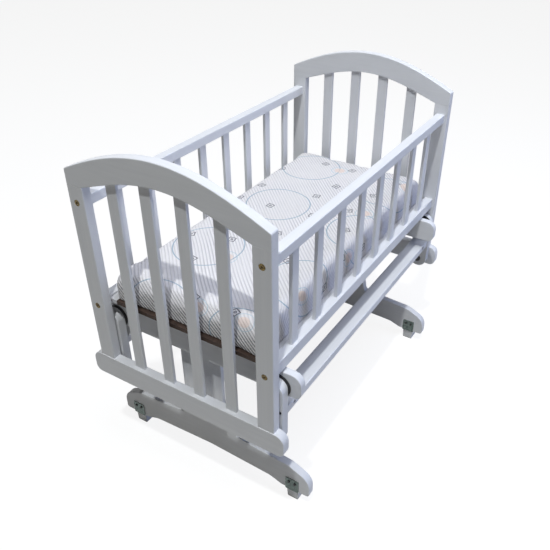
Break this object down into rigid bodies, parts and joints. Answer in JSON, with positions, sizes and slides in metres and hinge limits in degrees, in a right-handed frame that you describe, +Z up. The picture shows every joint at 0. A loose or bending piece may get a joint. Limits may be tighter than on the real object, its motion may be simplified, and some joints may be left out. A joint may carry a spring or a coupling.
{
  "type": "swinging cradle",
  "caption": "Slatted white cradle whose basket hangs on four pivoted links from a two-ended stand and swings sideways, level.",
  "frame": {"origin": "on the floor under the middle of the cradle", "axes": "+X along the cradle, +Y across it in the direction of the swing, +Z up"},
  "size_m": [0.976, 0.62, 0.9178],
  "materials": {
    "white_paint": "satin white paint on pine",
    "raw_pine": "bare pine",
    "bed_sheet_board": "dark faced board",
    "mattress_fabric": "striped knit",
    "brassed_steel": "yellow passivated",
    "zinc_steel": "zinc plated",
    "black_steel": "black oxide",
    "black_plastic": "moulded",
    "white_nylon": "moulded",
    "dark_rubber": "matte"
  },
  "bodies": {
    "stand": {"left_crossbar": "white_paint", "left_upright": "white_paint", "left_foot": "white_paint", "right_crossbar": "white_paint", "right_upright": "white_paint", "right_foot": "white_paint", "tie_rail": "white_paint", "tie_bolts": "zinc_steel", "tie_nuts": "zinc_steel", "crossbar_screws": "zinc_steel", "foot_screws": "zinc_steel", "upper_pivot_pins": "black_steel", "pivot_discs": "black_plastic", "tee_nuts": "zinc_steel", "glide_brackets": "zinc_steel", "bracket_screws": "black_steel", "glides": "white_nylon", "glide_soles": "dark_rubber"},
    "front_swing_frame": {"left_front_link": "white_paint", "right_front_link": "white_paint", "front_stretcher": "white_paint", "front_link_bushes": "white_nylon", "front_stretcher_bolts": "zinc_steel", "front_stretcher_nuts": "black_steel", "front_link_buffers": "black_plastic"},
    "back_swing_frame": {"left_back_link": "white_paint", "right_back_link": "white_paint", "back_stretcher": "white_paint", "back_link_bushes": "white_nylon", "back_stretcher_bolts": "zinc_steel", "back_stretcher_nuts": "black_steel", "back_link_buffers": "black_plastic"},
    "basket": {"left_front_post": "white_paint", "left_back_post": "white_paint", "right_front_post": "white_paint", "right_back_post": "white_paint", "left_arch_rail": "white_paint", "left_end_slats": "white_paint", "left_end_board": "white_paint", "right_arch_rail": "white_paint", "right_end_slats": "white_paint", "right_end_board": "white_paint", "front_top_rail": "white_paint", "front_bottom_rail": "white_paint", "front_side_slats": "white_paint", "front_cleat": "white_paint", "back_top_rail": "white_paint", "back_bottom_rail": "white_paint", "back_side_slats": "white_paint", "back_cleat": "white_paint", "bed_board": "bed_sheet_board", "mattress": "mattress_fabric", "connector_bolts": "brassed_steel", "connector_nuts": "zinc_steel", "cleat_screws": "zinc_steel", "panel_dowels": "raw_pine", "lower_pivot_pins": "black_steel", "pivot_caps": "black_plastic", "pivot_inserts": "brassed_steel", "lower_spacers": "white_nylon"}
  },
  "joints": [
    {"name": "front_swing", "type": "hinge", "parent": "stand", "child": "front_swing_frame", "pos_m": [0, -0.24115, 0.424], "axis": [1, 0, 0], "range_deg": [-12, 12]},
    {"name": "back_swing", "type": "hinge", "parent": "stand", "child": "back_swing_frame", "pos_m": [0, 0.24115, 0.424], "axis": [1, 0, 0], "range_deg": [-12, 12]},
    {"name": "basket_level", "type": "hinge", "parent": "front_swing_frame", "child": "basket", "pos_m": [0, -0.24115, 0.295], "axis": [1, 0, 0], "range_deg": [-12, 12]}
  ],
  "couplings": [
    {"joint": "back_swing", "follows": "front_swing", "ratio": 1},
    {"joint": "basket_level", "follows": "front_swing", "ratio": -1}
  ]
}
